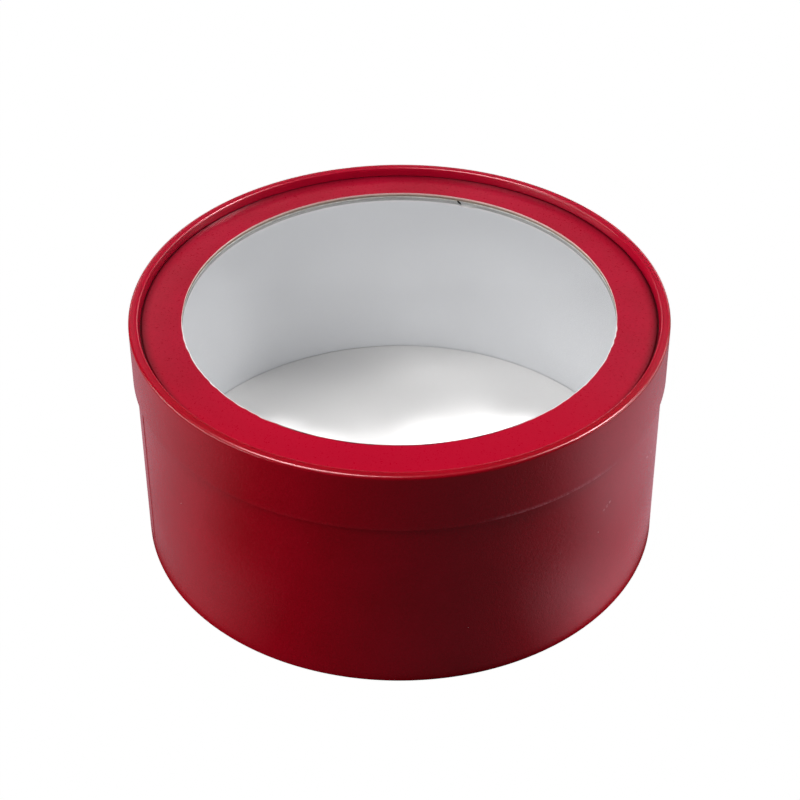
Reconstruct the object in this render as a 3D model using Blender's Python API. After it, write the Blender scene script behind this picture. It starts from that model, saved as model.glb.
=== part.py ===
"""Round lift-off-lid flower box: a paper-covered board tube with a rolled foot,
a recessed floor, and a shallow lid whose recessed panel frames a clear window.

Metres, +Z up. The origin is at the middle of the foot, on the plane that the box
stands on. Every piece is a body of revolution about the box's upright axis, laid
out here at its real size with the paper, board and film kept as separate pieces.
A glue line between two pieces is the even gap LAYER_GAP.
"""

import math

import bmesh
import bpy
from mathutils import Matrix

# ---------------------------------------------------------------- dimensions
MM = 0.001

SEGMENTS = 72                  # flats round the tube, the same on every layer
LAYER_GAP = 0.25 * MM          # glue line between two layers
SEAT_GAP = 0.30 * MM           # between the lid's panel and the rim it rests on

TOTAL_HEIGHT = 121.1 * MM      # foot to the crest of the lid's rim
PAPER = 0.25 * MM              # coated wrapping paper, and the white lining paper

# base
BASE_RADIUS = 123.4 * MM       # outside of the red paper
BASE_HEIGHT = 114.3 * MM       # foot to the open rim
BASE_BOARD = 1.10 * MM         # greyboard of the tube
FOOT_ROLL_HEIGHT = 5.95 * MM   # how far the turned-in foot reaches up inside
FOOT_ROLL_WIDTH = 4.0 * MM     # from the outside of the base to the inside of the roll
FOOT_CORNER = 1.2 * MM
FLOOR_BOARD = 2.0 * MM
FLOOR_TOP = 9.2 * MM           # upper face of the white floor paper

# lid
LID_RADIUS = 125.0 * MM        # outside of the red paper
LID_LOWER_EDGE = 91.8 * MM     # height of the lid's lower edge when it is on
LID_BOARD = 0.75 * MM          # board of the lid's band
RIM_CORNER = 1.5 * MM          # outer corner of the rolled rim
RIM_LIP = 1.0 * MM             # inner lip of the rolled rim
RIM_CREST_END = 121.4 * MM     # radius where the flat crest turns into the lip
FLANK_SLOPE = math.radians(50)  # the roll's inner flank, from the horizontal
PANEL_TOP = 118.8 * MM         # upper face of the red panel paper
PANEL_RADIUS = 123.4 * MM      # the panel runs out under the rolled rim
WINDOW_RADIUS = 100.3 * MM
PANEL_BOARD = 1.55 * MM
TAPE = 0.20 * MM
TAPE_INNER = 102.5 * MM
TAPE_OUTER = 117.0 * MM
FILM = 0.25 * MM
FILM_RADIUS = 118.0 * MM
UNDER_RING = 0.95 * MM         # white card ring that closes the film's edge

# ---------------------------------------------------------------- clean start
for old in list(bpy.data.objects):
    bpy.data.objects.remove(old, do_unlink=True)


# ---------------------------------------------------------------- materials
def material(name, colour, roughness, metallic=0.0, alpha=1.0):
    mat = bpy.data.materials.new(name)
    mat.use_nodes = True
    shader = mat.node_tree.nodes["Principled BSDF"]
    shader.inputs["Base Color"].default_value = (*colour, 1.0)
    shader.inputs["Roughness"].default_value = roughness
    shader.inputs["Metallic"].default_value = metallic
    shader.inputs["Alpha"].default_value = alpha
    mat.diffuse_color = (*colour, alpha)
    return mat


WRAP_RED = (0.42, 0.012, 0.035)
PANEL_RED = (0.46, 0.016, 0.045)
LINING_WHITE = (0.80, 0.81, 0.82)
GREYBOARD = (0.40, 0.34, 0.28)
LIGHT_BOARD = (0.62, 0.58, 0.52)


# ---------------------------------------------------------------- sections
def arc(cx, cz, radius, start, end, steps):
    """Points on an arc about (cx, cz), angles in degrees from +X, both ends in."""
    points = []
    for i in range(steps + 1):
        a = math.radians(start + (end - start) * i / steps)
        points.append((cx + radius * math.cos(a), cz + radius * math.sin(a)))
    return points


def plate(inner, outer, bottom, top):
    """Section of a disc (inner 0) or a flat ring."""
    return [(inner, bottom), (outer, bottom), (outer, top), (inner, top)]


def rim_line(depth, end_z, corner_steps=3, lip_steps=2):
    """The lid's rolled rim, depth under its outer surface: up the band, over the
    crest and down the flank, ending at the height end_z."""
    crest = TOTAL_HEIGHT - depth
    line = [(LID_RADIUS - depth, LID_LOWER_EDGE)]
    line += arc(LID_RADIUS - RIM_CORNER, TOTAL_HEIGHT - RIM_CORNER,
                RIM_CORNER - depth, 0, 90, corner_steps)
    # where the flank starts on the outer surface, and its inward normal
    turn = math.pi / 2 + FLANK_SLOPE
    start_r = RIM_CREST_END + RIM_LIP * math.cos(turn)
    start_z = TOTAL_HEIGHT - RIM_LIP + RIM_LIP * math.sin(turn)
    flank_r = start_r - depth * math.cos(turn)
    flank_z = start_z - depth * math.sin(turn)
    slope = math.tan(FLANK_SLOPE)
    if depth < RIM_LIP:
        line += arc(RIM_CREST_END, TOTAL_HEIGHT - RIM_LIP, RIM_LIP - depth,
                    90, 90 + math.degrees(FLANK_SLOPE), lip_steps)
    else:
        line.append((flank_r + (crest - flank_z) / slope, crest))
    line.append((flank_r - (flank_z - end_z) / slope, end_z))
    return line


def foot_line(depth, steps=3):
    """The base's outer surface, depth under it: down the wall, round the foot and
    up the inside of the turned-in edge."""
    inner = BASE_RADIUS - FOOT_ROLL_WIDTH
    radius = max(FOOT_CORNER - depth, 0.0)
    line = [(BASE_RADIUS - depth, BASE_HEIGHT)]
    if radius > 0.05 * MM:
        line += arc(BASE_RADIUS - FOOT_CORNER, FOOT_CORNER, radius, 0, -90, steps)
        line += arc(inner + FOOT_CORNER, FOOT_CORNER, radius, -90, -180, steps)
    else:
        line += [(BASE_RADIUS - depth, depth), (inner + depth, depth)]
    line.append((inner + depth, FOOT_ROLL_HEIGHT))
    return line


def sheet(line, shallow, deep, **how):
    """Closed section of a layer between two depths under a guiding surface."""
    return line(shallow, **how) + line(deep, **how)[::-1]


# ---------------------------------------------------------------- bodies
def turned(name, section, mat, parent, seat=0.0):
    """A closed section turned about the box's axis. seat is the height of the
    piece's own origin, from which its mesh is drawn."""
    bm = bmesh.new()
    columns = []
    for r, z in section:
        if r < 1e-9:
            columns.append([bm.verts.new((0.0, 0.0, z - seat))])
        else:
            columns.append([
                bm.verts.new((r * math.cos(2 * math.pi * i / SEGMENTS),
                              r * math.sin(2 * math.pi * i / SEGMENTS),
                              z - seat))
                for i in range(SEGMENTS)
            ])
    for a, b in zip(columns, columns[1:] + columns[:1]):
        if len(a) == 1 and len(b) == 1:
            continue
        for i in range(SEGMENTS):
            j = (i + 1) % SEGMENTS
            if len(a) == 1:
                bm.faces.new((a[0], b[j], b[i]))
            elif len(b) == 1:
                bm.faces.new((a[i], a[j], b[0]))
            else:
                bm.faces.new((a[i], a[j], b[j], b[i]))
    bmesh.ops.recalc_face_normals(bm, faces=bm.faces)
    if bm.calc_volume(signed=True) < 0:
        bmesh.ops.reverse_faces(bm, faces=bm.faces)
    mesh = bpy.data.meshes.new(name)
    bm.to_mesh(mesh)
    bm.free()
    mesh.shade_smooth()
    mesh.set_sharp_from_angle(angle=math.radians(40))
    mesh.materials.append(mat)
    obj = bpy.data.objects.new(name, mesh)
    bpy.context.scene.collection.objects.link(obj)
    obj.parent = parent
    obj.matrix_parent_inverse = Matrix.Identity(4)
    obj.location = (0.0, 0.0, seat - parent.location.z)
    return obj


def axis_empty(name, height):
    empty = bpy.data.objects.new(name, None)
    empty.location = (0.0, 0.0, height)
    bpy.context.scene.collection.objects.link(empty)
    return empty


# The base stands on the origin. The lid's empty is on its lifting axis, at the
# height of the rim that the lid's panel rests on.
base = axis_empty("base_axis", 0.0)
lid = axis_empty("lid_axis", BASE_HEIGHT)

# ---------------------------------------------------------------- base
turned("base_outer_wrap", sheet(foot_line, 0.0, PAPER),
       material("base_wrap_red", WRAP_RED, 0.45), base)

board_out = PAPER + LAYER_GAP
board_in = board_out + BASE_BOARD
turned("base_wall_board", sheet(foot_line, board_out, board_in),
       material("base_board", GREYBOARD, 0.9), base)

# The lining covers the tube's inside from the turned-in foot to the open rim, and
# the floor is pressed in against it.
underside_bottom = FOOT_ROLL_HEIGHT + LAYER_GAP
underside_top = underside_bottom + PAPER
floor_bottom = underside_top + LAYER_GAP
floor_top = floor_bottom + FLOOR_BOARD
liner_out = BASE_RADIUS - board_in - LAYER_GAP
liner_in = liner_out - PAPER
turned("base_inner_liner", plate(liner_in, liner_out, underside_bottom, BASE_HEIGHT),
       material("base_lining_white", LINING_WHITE, 0.6), base, underside_bottom)

disc_radius = liner_in - LAYER_GAP
turned("base_underside_paper", plate(0.0, disc_radius, underside_bottom, underside_top),
       material("underside_white", LINING_WHITE, 0.7), base, underside_bottom)
turned("base_bottom_board", plate(0.0, disc_radius, floor_bottom, floor_top),
       material("floor_board", GREYBOARD, 0.9), base, floor_bottom)
turned("base_floor_paper", plate(0.0, disc_radius, FLOOR_TOP - PAPER, FLOOR_TOP),
       material("floor_white", LINING_WHITE, 0.6), base, FLOOR_TOP)

# ---------------------------------------------------------------- lid
# The rolled rim ends just above the panel's paper. The panel is pushed up against
# it from below, with the window's film and its closing ring behind the panel.
rim_end = PANEL_TOP + SEAT_GAP
turned("lid_outer_wrap", sheet(rim_line, 0.0, PAPER, end_z=rim_end),
       material("lid_wrap_red", WRAP_RED, 0.45), lid, BASE_HEIGHT)
lid_board_out = PAPER + LAYER_GAP
turned("lid_wall_board",
       sheet(rim_line, lid_board_out, lid_board_out + LID_BOARD, end_z=rim_end),
       material("lid_board", LIGHT_BOARD, 0.85), lid, BASE_HEIGHT)

paper_bottom = PANEL_TOP - PAPER
turned("lid_top_ring_paper", plate(WINDOW_RADIUS, PANEL_RADIUS, paper_bottom, PANEL_TOP),
       material("panel_red", PANEL_RED, 0.5), lid, PANEL_TOP)

ring_top = paper_bottom - LAYER_GAP
ring_bottom = ring_top - PANEL_BOARD
turned("lid_top_ring_board", plate(WINDOW_RADIUS, PANEL_RADIUS, ring_bottom, ring_top),
       material("panel_board", LIGHT_BOARD, 0.9), lid, ring_bottom)

tape_top = ring_bottom - LAYER_GAP
tape_bottom = tape_top - TAPE
turned("window_adhesive_ring", plate(TAPE_INNER, TAPE_OUTER, tape_bottom, tape_top),
       material("adhesive", (0.85, 0.85, 0.83), 0.4), lid, tape_bottom)

film_top = tape_bottom - LAYER_GAP
film_bottom = film_top - FILM
turned("window_film", plate(0.0, FILM_RADIUS, film_bottom, film_top),
       material("clear_film", (0.95, 0.97, 0.98), 0.05, alpha=0.15), lid, film_bottom)

under_top = film_bottom - LAYER_GAP
under_bottom = under_top - UNDER_RING
turned("lid_under_ring", plate(WINDOW_RADIUS, PANEL_RADIUS, under_bottom, under_top),
       material("under_ring_white", LINING_WHITE, 0.6), lid, under_bottom)
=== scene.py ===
"""Looks of the round window-lid flower box: fine meshes, papers, board and film."""

import math
import random

import bpy
import numpy as np
from mathutils import Matrix, Quaternion, Vector


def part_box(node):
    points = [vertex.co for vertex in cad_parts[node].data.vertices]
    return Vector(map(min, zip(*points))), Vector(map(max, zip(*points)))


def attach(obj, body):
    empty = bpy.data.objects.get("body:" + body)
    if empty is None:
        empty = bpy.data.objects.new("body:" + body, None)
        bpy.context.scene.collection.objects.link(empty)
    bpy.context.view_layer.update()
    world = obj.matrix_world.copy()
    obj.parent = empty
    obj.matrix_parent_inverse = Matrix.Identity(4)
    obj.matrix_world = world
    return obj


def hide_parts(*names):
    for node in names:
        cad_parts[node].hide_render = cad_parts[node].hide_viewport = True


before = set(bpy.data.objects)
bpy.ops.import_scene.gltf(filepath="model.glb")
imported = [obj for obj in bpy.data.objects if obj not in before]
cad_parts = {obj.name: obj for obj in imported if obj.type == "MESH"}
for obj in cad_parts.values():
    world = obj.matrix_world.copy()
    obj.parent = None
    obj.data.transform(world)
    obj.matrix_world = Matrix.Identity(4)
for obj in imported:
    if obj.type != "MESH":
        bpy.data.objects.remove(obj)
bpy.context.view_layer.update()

MM = 0.001
TAU = 2.0 * math.pi

# --------------------------------------------------------------------------
# Sizes, read from the frame
# --------------------------------------------------------------------------
wrap_lo, wrap_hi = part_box("lid_outer_wrap")
band_lo, band_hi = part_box("base_outer_wrap")
ring_lo, ring_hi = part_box("lid_top_ring_paper")
under_lo, under_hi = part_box("lid_under_ring")
film_lo, film_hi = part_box("window_film")
liner_lo, liner_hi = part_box("base_inner_liner")
floor_lo, floor_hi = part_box("base_floor_paper")
bottom_lo, bottom_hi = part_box("base_underside_paper")
disc_lo, disc_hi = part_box("base_bottom_board")

LID_R = wrap_hi.x            # outside of the lid's paper
LID_EDGE = wrap_lo.z         # lower edge of the lid
HEIGHT = wrap_hi.z
BASE_R = band_hi.x
BASE_TOP = band_hi.z
PANEL_Z = ring_hi.z          # upper face of the panel
PANEL_R = ring_hi.x
UNDER_Z = under_lo.z         # lower face of the closing ring
FLOOR_Z = floor_hi.z
LINER_R = liner_hi.x - 0.25 * MM
LINER_Z = liner_lo.z
FOOT_IN = BASE_R - 4.0 * MM
FOOT_TOP = 5.95 * MM
WINDOW_R = 100.3 * MM
PAPER = 0.25 * MM


# --------------------------------------------------------------------------
# Mesh code
# --------------------------------------------------------------------------
def wave(seed, low, high, amount):
    """A smooth closed wander round the circle: harmonics low..high, about amount high."""
    rnd = random.Random(seed)
    parts = [(k, rnd.uniform(0, TAU), rnd.uniform(0.4, 1.0) / math.sqrt(k))
             for k in range(low, high + 1)]
    scale = amount / math.sqrt(sum(a * a for _, _, a in parts) / 2.0)

    def f(az):
        total = np.zeros_like(az)
        for k, p, a in parts:
            total = total + a * np.cos(k * az + p)
        return total * scale / 1.6
    return f


def bumps(seed, count, width, low=0.35, high=1.0, spans=None):
    """Narrow creases round the circle, each 0..1, at unseen-regular places."""
    rnd = random.Random(seed)
    made = []
    while len(made) < count:
        a = rnd.uniform(0, TAU)
        if spans is not None and not any(s <= a <= e for s, e in spans):
            if rnd.random() > 0.25:
                continue
        made.append((a, rnd.uniform(0.6, 1.4) * width, rnd.uniform(low, high)))

    def f(az):
        total = np.zeros_like(az)
        for a, w, h in made:
            d = (az - a + math.pi) % TAU - math.pi
            total = np.maximum(total, h * np.exp(-(d / w) ** 2))
        return total
    return f


def grid_mesh(name, points, closed_section=True, materials=(), slots=None, fields=None,
              sharp=35.0, extra=None):
    """points is (columns, rows, 3), closed round the columns. slots gives a material
    number for each row's band of faces. fields is {name: (columns, rows)}. extra is
    (vertices, faces, material number) of a small closed shape added to it."""
    n, m = points.shape[:2]
    rows = m if closed_section else m - 1
    i = np.arange(n)[:, None]
    j = np.arange(rows)[None, :]
    i2, j2 = (i + 1) % n, (j + 1) % m
    quads = np.stack([i * m + j, i2 * m + j, i2 * m + j2, i * m + j2], -1).reshape(-1, 4)
    verts = points.reshape(-1, 3)
    a, b, c = verts[quads[:, 0]], verts[quads[:, 1]], verts[quads[:, 2]]
    volume = np.einsum("ij,ij->i", a, np.cross(b, c)).sum()
    if closed_section and volume < 0:
        quads = quads[:, ::-1]
    mesh = bpy.data.meshes.new(name)
    all_verts, all_faces = verts.tolist(), quads.tolist()
    numbers = np.zeros((n, rows)) if slots is None else np.broadcast_to(np.array(slots)[None, :], (n, rows))
    numbers = numbers.ravel().astype(np.int32)
    if extra is not None:
        all_faces += [[k + len(all_verts) for k in face] for face in extra[1]]
        all_verts += [list(p) for p in extra[0]]
        numbers = np.concatenate([numbers, np.full(len(extra[1]), extra[2], np.int32)])
    mesh.from_pydata(all_verts, [], all_faces)
    for mat in materials:
        mesh.materials.append(mat)
    mesh.polygons.foreach_set("material_index", numbers)
    for key, values in (fields or {}).items():
        layer = mesh.attributes.new(key, "FLOAT", "POINT")
        flat = np.zeros(len(all_verts), np.float32)
        flat[:n * m] = np.broadcast_to(values, (n, m)).ravel()
        layer.data.foreach_set("value", flat)
    mesh.shade_smooth()
    mesh.set_sharp_from_angle(angle=math.radians(sharp))
    mesh.update()
    obj = bpy.data.objects.new(name, mesh)
    bpy.context.scene.collection.objects.link(obj)
    return obj


def lathe(name, section, columns, move=None, **how):
    """Turns a closed section of (r, z) into a solid. move(az, r, z, row) shifts it."""
    az = np.arange(columns) / columns * TAU
    rz = np.array(section, float)
    r = np.broadcast_to(rz[:, 0], (columns, len(rz))).copy()
    z = np.broadcast_to(rz[:, 1], (columns, len(rz))).copy()
    a = np.broadcast_to(az[:, None], r.shape)
    if move is not None:
        r, z = move(a, r, z, np.broadcast_to(np.arange(len(rz)), r.shape))
    points = np.stack([r * np.cos(a), r * np.sin(a), z], -1)
    return grid_mesh(name, points, **how)


def disc(name, radius, bottom, top, columns, rings, bevel=0.0, lift=None, rim=None,
         materials=(), slots=(0, 0, 0), sharp=35.0):
    """A flat round sheet with a real thickness. lift(x, y) raises both faces, and
    rim(az) moves the cut edge in."""
    az = np.arange(columns) / columns * TAU
    steps = list(np.linspace(0, 1, rings + 1)[1:-1] * (radius - bevel) ** 1.0)
    outer = [radius - bevel] if bevel else []
    upper = steps + outer + [radius]
    cut = np.zeros(columns) if rim is None else rim(az)
    verts, faces, kinds = [], [], []

    def height(x, y):
        return 0.0 if lift is None else lift(x, y)

    def face(z0, up, edge_z):
        start = len(verts)
        verts.append((0.0, 0.0, z0 + float(height(np.zeros(1), np.zeros(1))[0]) if lift else z0))
        for q, r in enumerate(upper):
            rr = r - cut * (r / radius) ** 30
            x, y = rr * np.cos(az), rr * np.sin(az)
            zz = np.full(columns, edge_z if q == len(upper) - 1 else z0)
            if lift is not None:
                zz = zz + height(x, y)
            verts.extend(np.stack([x, y, zz], -1).tolist())
        for i in range(columns):
            k = (i + 1) % columns
            tri = (start, start + 1 + i, start + 1 + k)
            faces.append(tri if up else tri[::-1])
            kinds.append(slots[0] if up else slots[2])
        for q in range(len(upper) - 1):
            s = start + 1 + q * columns
            for i in range(columns):
                k = (i + 1) % columns
                quad = (s + i, s + columns + i, s + columns + k, s + k)
                faces.append(quad if up else quad[::-1])
                kinds.append(slots[0] if up else slots[2])
        return start + 1 + (len(upper) - 1) * columns

    t = face(top, True, top - bevel)
    b = face(bottom, False, bottom + bevel)
    for i in range(columns):
        k = (i + 1) % columns
        faces.append((t + i, b + i, b + k, t + k))
        kinds.append(slots[1])
    mesh = bpy.data.meshes.new(name)
    mesh.from_pydata(verts, [], faces)
    for mat in materials:
        mesh.materials.append(mat)
    mesh.polygons.foreach_set("material_index", np.array(kinds, np.int32))
    mesh.shade_smooth()
    mesh.set_sharp_from_angle(angle=math.radians(sharp))
    mesh.update()
    obj = bpy.data.objects.new(name, mesh)
    bpy.context.scene.collection.objects.link(obj)
    return obj


def shred(path, widths, heights, sides=8):
    """A thin tapering strip along a path of points, as closed vertices and faces."""
    path = [Vector(p) for p in path]
    verts, faces = [], []
    for i, p in enumerate(path):
        ahead = (path[min(i + 1, len(path) - 1)] - path[max(i - 1, 0)]).normalized()
        across = ahead.cross(Vector((0, 0, 1))).normalized()
        up = across.cross(ahead).normalized()
        for s in range(sides):
            a = TAU * s / sides
            verts.append(p + across * math.cos(a) * widths[i] / 2 + up * math.sin(a) * heights[i] / 2)
    for i in range(len(path) - 1):
        for s in range(sides):
            t = (s + 1) % sides
            faces.append((i * sides + s, i * sides + t, (i + 1) * sides + t, (i + 1) * sides + s))
    faces.append(tuple(range(sides))[::-1])
    faces.append(tuple((len(path) - 1) * sides + s for s in range(sides)))
    return verts, faces


def arc(cx, cz, radius, start, end, steps, first=True):
    out = []
    for i in range(0 if first else 1, steps + 1):
        a = math.radians(start + (end - start) * i / steps)
        out.append((cx + radius * math.cos(a), cz + radius * math.sin(a)))
    return out


def line(p, q, steps, first=False):
    return [(p[0] + (q[0] - p[0]) * i / steps, p[1] + (q[1] - p[1]) * i / steps)
            for i in range(0 if first else 1, steps + 1)]


# --------------------------------------------------------------------------
# Materials
# --------------------------------------------------------------------------
class Nodes:
    """Short-hand for building a node tree."""

    def __init__(self, name):
        self.mat = bpy.data.materials.new(name)
        self.mat.use_nodes = True
        self.tree = self.mat.node_tree
        self.shader = self.tree.nodes["Principled BSDF"]
        self.out = self.tree.nodes["Material Output"]
        self.place = self.tree.nodes.new("ShaderNodeTexCoord").outputs["Object"]

    def link(self, a, b):
        self.tree.links.new(a, b)

    def node(self, kind, **sockets):
        n = self.tree.nodes.new(kind)
        for key, value in sockets.items():
            if key in ("operation", "data_type", "blend_type", "interpolation_type",
                       "feature", "distance", "noise_dimensions", "attribute_name",
                       "clamp", "use_clamp", "noise_type", "voronoi_dimensions", "normalize"):
                setattr(n, key, value)
        for key, value in sockets.items():
            if key.startswith("i_"):
                k = key[2:]
                socket = n.inputs[int(k)] if k.isdigit() else n.inputs[k.replace("_", " ")]
                if hasattr(value, "links"):
                    self.link(value, socket)
                else:
                    socket.default_value = value
        return n

    def math(self, op, a, b=None, c=None, clamp=False):
        n = self.tree.nodes.new("ShaderNodeMath")
        n.operation = op
        n.use_clamp = clamp
        for k, v in enumerate((a, b, c)):
            if v is None:
                continue
            if hasattr(v, "links"):
                self.link(v, n.inputs[k])
            else:
                n.inputs[k].default_value = v
        return n.outputs[0]

    def scaled(self, x, y, z):
        n = self.tree.nodes.new("ShaderNodeVectorMath")
        n.operation = "MULTIPLY"
        self.link(self.place, n.inputs[0])
        n.inputs[1].default_value = (x, y, z)
        return n.outputs[0]

    def noise(self, scale, detail=3.0, rough=0.55, vector=None, distortion=0.0):
        n = self.tree.nodes.new("ShaderNodeTexNoise")
        self.link(vector or self.place, n.inputs["Vector"])
        n.inputs["Scale"].default_value = scale
        n.inputs["Detail"].default_value = detail
        n.inputs["Roughness"].default_value = rough
        n.inputs["Distortion"].default_value = distortion
        return n.outputs["Fac"]

    def ramp(self, value, lo, hi, to_lo=0.0, to_hi=1.0, smooth=True):
        n = self.tree.nodes.new("ShaderNodeMapRange")
        n.interpolation_type = "SMOOTHSTEP" if smooth else "LINEAR"
        self.link(value, n.inputs["Value"])
        n.inputs["From Min"].default_value = lo
        n.inputs["From Max"].default_value = hi
        n.inputs["To Min"].default_value = to_lo
        n.inputs["To Max"].default_value = to_hi
        return n.outputs["Result"]

    def mix(self, fac, a, b):
        n = self.tree.nodes.new("ShaderNodeMix")
        n.data_type = "RGBA"
        if hasattr(fac, "links"):
            self.link(fac, n.inputs["Factor"])
        else:
            n.inputs["Factor"].default_value = fac
        for key, v in (("A", a), ("B", b)):
            socket = [s for s in n.inputs if s.name == key and s.type == "RGBA"][0]
            if hasattr(v, "links"):
                self.link(v, socket)
            else:
                socket.default_value = (*v, 1.0)
        return [s for s in n.outputs if s.type == "RGBA"][0]

    def field(self, name):
        n = self.tree.nodes.new("ShaderNodeAttribute")
        n.attribute_name = name
        return n.outputs["Fac"]

    def radius(self):
        """Distance from the upright axis."""
        n = self.tree.nodes.new("ShaderNodeSeparateXYZ")
        self.link(self.place, n.inputs[0])
        x2 = self.math("MULTIPLY", n.outputs["X"], n.outputs["X"])
        r2 = self.math("MULTIPLY_ADD", n.outputs["Y"], n.outputs["Y"], x2)
        return self.math("SQRT", r2), n.outputs["Z"]

    def bump(self, height, distance, strength=1.0, normal=None):
        n = self.tree.nodes.new("ShaderNodeBump")
        self.link(height, n.inputs["Height"])
        n.inputs["Distance"].default_value = distance
        n.inputs["Strength"].default_value = strength
        if normal is not None:
            self.link(normal, n.inputs["Normal"])
        return n.outputs["Normal"]

    def drive(self, normal, strength):
        """Sets how strong a bump is, as a number or from another socket."""
        socket = normal.node.inputs["Strength"]
        if hasattr(strength, "links"):
            self.link(strength, socket)
        else:
            socket.default_value = strength

    def set(self, **values):
        for key, value in values.items():
            socket = self.shader.inputs[key.replace("_", " ")]
            if hasattr(value, "links"):
                self.link(value, socket)
            else:
                socket.default_value = (*value, 1.0) if isinstance(value, tuple) and len(value) == 3 else value
        return self.mat

    def near(self, points, size):
        """1 near any of the points (in the row's frame), 0 elsewhere."""
        total = None
        for p in points:
            n = self.tree.nodes.new("ShaderNodeVectorMath")
            n.operation = "DISTANCE"
            self.link(self.place, n.inputs[0])
            n.inputs[1].default_value = p[:3]
            d = self.ramp(n.outputs["Value"], p[3] * size * 0.55, p[3] * size, 1.0, 0.0)
            total = d if total is None else self.math("MAXIMUM", total, d)
        return total


def red_paper(name, deep, light, roughness, specular, grain=1.0, folds=True, specks=(), scuffs=(),
              crest=None, panel=None, wobble=1.0):
    """Coated red wrapping paper: a fine sandy grain, a cloudy tone, paler folds that are partly wear
    and partly a painted highlight. crest is a painted light tone, brighter and cooler, for the rim's
    top where the light falls. panel is a pair: a painted light tone for the front, and a painted shade beside the rim."""
    k = Nodes(name)
    cloud = k.noise(26.0, 3.0, 0.5)
    mottle = k.noise(800.0, 2.0, 0.6)
    sand = k.noise(1900.0, 2.0, 0.6)
    tone = k.math("ADD", k.math("MULTIPLY", cloud, 0.40), k.math("MULTIPLY", mottle, 0.28))
    tone = k.math("ADD", tone, k.math("MULTIPLY", sand, 0.32))
    colour = k.mix(k.ramp(tone, 0.38, 0.62, smooth=False), deep, light)
    even = 1.0
    if crest:
        # painted light: the rim's top gets a brighter, cooler red, as where light from the rear falls on it
        colour = k.mix(k.field("crest"), colour, crest)
        # painted shade: the rim's inner flank is darkened, most on the left side
        colour = k.mix(k.field("flank"), colour, (0.10, 0.0003, 0.0040))
        even = k.math("MULTIPLY_ADD", k.field("stretched"), -0.99, 1.0)
    if panel:
        # painted light: the panel's front side gets a brighter tone, standing in for more light falling there
        colour = k.mix(k.math("MULTIPLY", k.field("front_painted_light"), k.math("MULTIPLY_ADD", sand, 0.4, 0.65)), colour, panel[0])
        # painted shade: the panel's colour is darkened in the dip beside the rim, where the rim's shadow falls
        uneven = k.math("MULTIPLY_ADD", k.noise(160.0, 2.0, 0.6), 0.24, 0.88)
        colour = k.mix(k.math("MULTIPLY", k.field("painted_shade"), uneven, clamp=True), colour, panel[1])
    rough = k.math("ADD", k.math("MULTIPLY_ADD", mottle, 0.12, roughness - 0.12),
                   k.math("MULTIPLY", sand, 0.12))
    if crest:
        rough = k.math("MULTIPLY_ADD", k.field("stretched"), 0.02, rough)
    # paler marks: wear at folds, and on the lid a painted highlight along the front of the inner lip
    if folds:
        fold_wear_and_highlight = k.field("fold_wear_and_highlight")
        broken = k.ramp(k.noise(700.0, 3.0, 0.7), 0.36, 0.62)
        fold_wear_and_highlight = k.math("MULTIPLY", fold_wear_and_highlight, k.math("MULTIPLY_ADD", broken, 0.75, 0.25))
        colour = k.mix(fold_wear_and_highlight, colour, (0.86, 0.27, 0.33))
        rough = k.math("MULTIPLY_ADD", fold_wear_and_highlight, 0.12, rough)
    if specks:
        colour = k.mix(k.near(specks, 0.00022), colour, (0.92, 0.72, 0.74))
    if scuffs:
        colour = k.mix(k.math("MULTIPLY", k.near(scuffs, 0.0010),
                              k.ramp(k.noise(1400.0, 2.0, 0.6), 0.40, 0.60)), colour, (0.70, 0.25, 0.28))
    fibre = k.noise(1300.0, 4.0, 0.65, distortion=0.4)

    def strength(v):
        return k.math("MULTIPLY", even, v) if crest else v

    normal = k.bump(sand, 0.00009 * grain)
    k.drive(normal, strength(0.9))
    normal = k.bump(fibre, 0.00009 * grain, normal=normal)
    k.drive(normal, strength(0.7))
    normal = k.bump(mottle, (0.00008 if panel else 0.00017) * grain, normal=normal)
    k.drive(normal, strength(0.6))
    normal = k.bump(k.noise(60.0, 2.0, 0.5), 0.0004, normal=normal)
    k.drive(normal, strength(0.12 * wobble))
    k.set(Base_Color=colour, Roughness=rough, Normal=normal)
    k.shader.inputs["Specular IOR Level"].default_value = specular
    return k.mat


def white_paper(name, low, high, roughness, scale=1.0, warm=None):
    """Uncoated white lining paper with a soft fibre and a faint cloud."""
    k = Nodes(name)
    cloud = k.noise(14.0 * scale, 2.0, 0.5)
    fibre = k.noise(800.0 * scale, 4.0, 0.65, distortion=0.6)
    fine = k.noise(2600.0 * scale, 2.0, 0.6)
    tone = k.math("ADD", k.math("MULTIPLY", cloud, 0.5),
                  k.math("MULTIPLY_ADD", fibre, 0.3, k.math("MULTIPLY", fine, 0.2)))
    colour = k.mix(k.ramp(tone, 0.38, 0.62, smooth=False), low, high)
    rough = k.math("MULTIPLY_ADD", fibre, 0.10, roughness - 0.05)
    normal = k.bump(fibre, 0.00005, 0.35)
    normal = k.bump(fine, 0.00002, 0.4, normal)
    k.set(Base_Color=colour, Roughness=rough, Normal=normal)
    k.shader.inputs["Specular IOR Level"].default_value = 0.35
    return k.mat


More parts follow.
